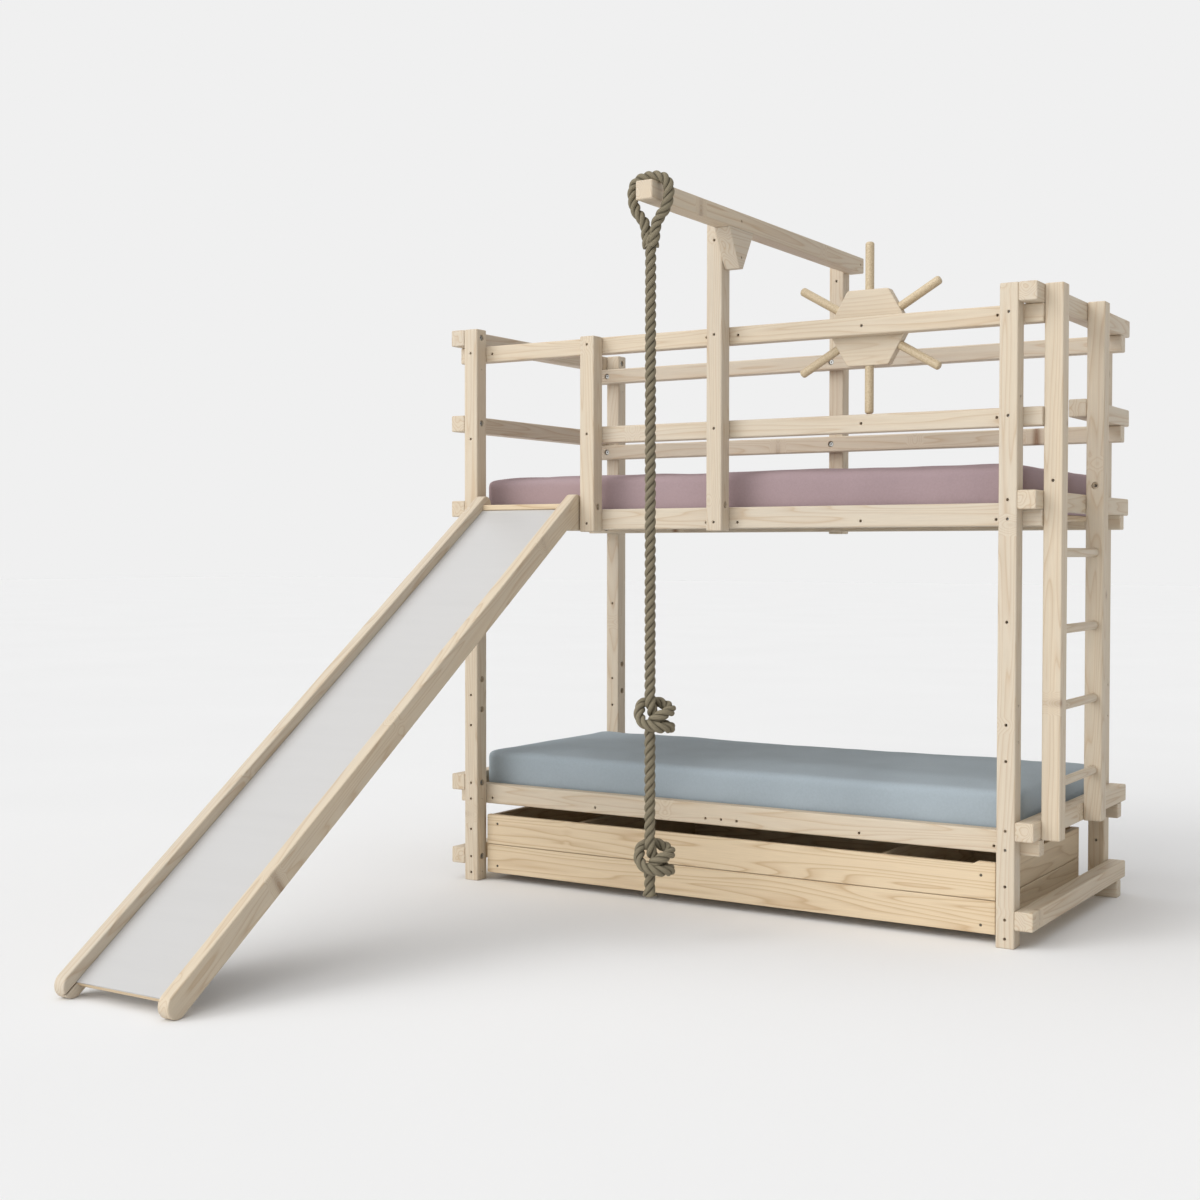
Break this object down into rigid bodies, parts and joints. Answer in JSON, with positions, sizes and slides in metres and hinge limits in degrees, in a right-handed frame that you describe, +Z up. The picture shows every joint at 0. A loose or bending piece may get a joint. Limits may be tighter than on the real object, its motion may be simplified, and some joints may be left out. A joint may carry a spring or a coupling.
{
  "type": "bunk bed with slide",
  "caption": "Timber bunk bed with slide, end ladder, guard rails, under-bed drawer on castors, toy steering wheel and a crane beam with a knotted climbing rope.",
  "frame": {"origin": "on the floor, below the middle of the whole bed with its slide", "axes": "+X along the bed, from the slide to the ladder; +Y from the slide's foot to the back of the bed; +Z up"},
  "size_m": [2.191, 2.907, 2.3098],
  "materials": {
    "spruce_upright": "planed, oiled, grain upright",
    "spruce_long": "planed, oiled, grain along the bed",
    "spruce_cross": "planed, oiled, grain from front to back",
    "spruce_slide": "planed, oiled, grain along the slope",
    "spruce_plank": "planed planks, oiled",
    "spruce_side": "planed planks from front to back",
    "spruce_batten": "sawn upright battens",
    "slat_wood": "planed slats",
    "steering_wood": "planed board with rounded corners",
    "beech": "turned, smooth",
    "drawer_plywood": "thin plywood",
    "slide_laminate": "smooth satin white laminate",
    "zinc_steel": "zinc plated",
    "screw_steel": "zinc plated",
    "castor_steel": "pressed steel",
    "castor_rubber": "dull",
    "mauve_cotton": "woven cotton cover, matt",
    "blue_cotton": "woven cotton cover, matt",
    "hemp_rope": "laid hemp, three strands"
  },
  "bodies": {
    "frame": {"base_ledges": "spruce_long", "base_slats": "slat_wood", "crane_beam": "spruce_cross", "crane_block": "spruce_cross", "end_foot_beams": "spruce_cross", "end_left_lower": "spruce_cross", "end_left_middle": "spruce_cross", "end_left_top": "spruce_cross", "end_left_upper": "spruce_cross", "end_right_lower": "spruce_cross", "end_right_middle": "spruce_cross", "end_right_top": "spruce_cross", "end_right_upper": "spruce_cross", "frame_bolts": "zinc_steel", "ladder_rungs": "spruce_cross", "ladder_stringer_back": "spruce_upright", "ladder_stringer_front": "spruce_upright", "mattress_lower": "blue_cotton", "mattress_upper": "mauve_cotton", "post_back_left": "spruce_upright", "post_back_right": "spruce_upright", "post_crane_back": "spruce_upright", "post_crane_front": "spruce_upright", "post_front_left": "spruce_upright", "post_front_right": "spruce_upright", "post_slide": "spruce_upright", "rail_back_foot": "spruce_long", "rail_back_lower": "spruce_long", "rail_back_middle": "spruce_long", "rail_back_top": "spruce_long", "rail_back_upper": "spruce_long", "rail_front_lower": "spruce_long", "rail_front_middle": "spruce_long", "rail_front_top": "spruce_long", "rail_front_upper": "spruce_long", "rope_eye": "hemp_rope", "slide_battens": "spruce_plank", "slide_board": "spruce_plank", "slide_panel": "slide_laminate", "slide_stringer_left": "spruce_slide", "slide_stringer_right": "spruce_slide", "steering_pivot": "zinc_steel"},
    "drawer": {"drawer_backs": "spruce_plank", "drawer_castors": "castor_steel", "drawer_corners": "spruce_batten", "drawer_dividers": "spruce_side", "drawer_floor": "drawer_plywood", "drawer_front_lower": "spruce_plank", "drawer_front_upper": "spruce_plank", "drawer_screws": "screw_steel", "drawer_sides": "spruce_side"},
    "steering_wheel": {"steering_board": "steering_wood", "steering_grips": "beech"},
    "rope_top": {"rope_neck": "hemp_rope"},
    "rope_hanging": {"rope_line": "hemp_rope"},
    "castor_wheel_front_left": {"drawer_wheel_front_left": "castor_rubber"},
    "castor_wheel_front_right": {"drawer_wheel_front_right": "castor_rubber"},
    "castor_wheel_back_left": {"drawer_wheel_back_left": "castor_rubber"},
    "castor_wheel_back_right": {"drawer_wheel_back_right": "castor_rubber"}
  },
  "joints": [
    {"name": "drawer_slide", "type": "slide", "parent": "frame", "child": "drawer", "axis": [0, -1, 0], "range_m": [0, 0.42]},
    {"name": "steering_turn", "type": "hinge", "parent": "frame", "child": "steering_wheel", "pos_m": [0.4625, 0.55354, 1.885], "axis": [0, 1, 0], "continuous": true},
    {"name": "rope_sideways", "type": "hinge", "parent": "frame", "child": "rope_top", "pos_m": [0.0285, -0.07346, 2.1077], "axis": [0, 1, 0], "range_deg": [-15, 15]},
    {"name": "rope_swing", "type": "hinge", "parent": "rope_top", "child": "rope_hanging", "pos_m": [0.0285, -0.07346, 2.0457], "axis": [-1, 0, 0], "range_deg": [-12, 25]},
    {"name": "castor_front_left", "type": "hinge", "parent": "drawer", "child": "castor_wheel_front_left", "pos_m": [-0.8175, 0.59154, 0.0255], "axis": [1, 0, 0], "range_deg": [0, 964]},
    {"name": "castor_front_right", "type": "hinge", "parent": "drawer", "child": "castor_wheel_front_right", "pos_m": [0.7605, 0.59154, 0.0255], "axis": [1, 0, 0], "range_deg": [0, 964]},
    {"name": "castor_back_left", "type": "hinge", "parent": "drawer", "child": "castor_wheel_back_left", "pos_m": [-0.8175, 1.22254, 0.0255], "axis": [1, 0, 0], "range_deg": [0, 964]},
    {"name": "castor_back_right", "type": "hinge", "parent": "drawer", "child": "castor_wheel_back_right", "pos_m": [0.7605, 1.22254, 0.0255], "axis": [1, 0, 0], "range_deg": [0, 964]}
  ],
  "couplings": [
    {"joint": "castor_front_left", "follows": "drawer_slide", "rad_per_m": 40},
    {"joint": "castor_front_right", "follows": "drawer_slide", "rad_per_m": 40},
    {"joint": "castor_back_left", "follows": "drawer_slide", "rad_per_m": 40},
    {"joint": "castor_back_right", "follows": "drawer_slide", "rad_per_m": 40}
  ]
}
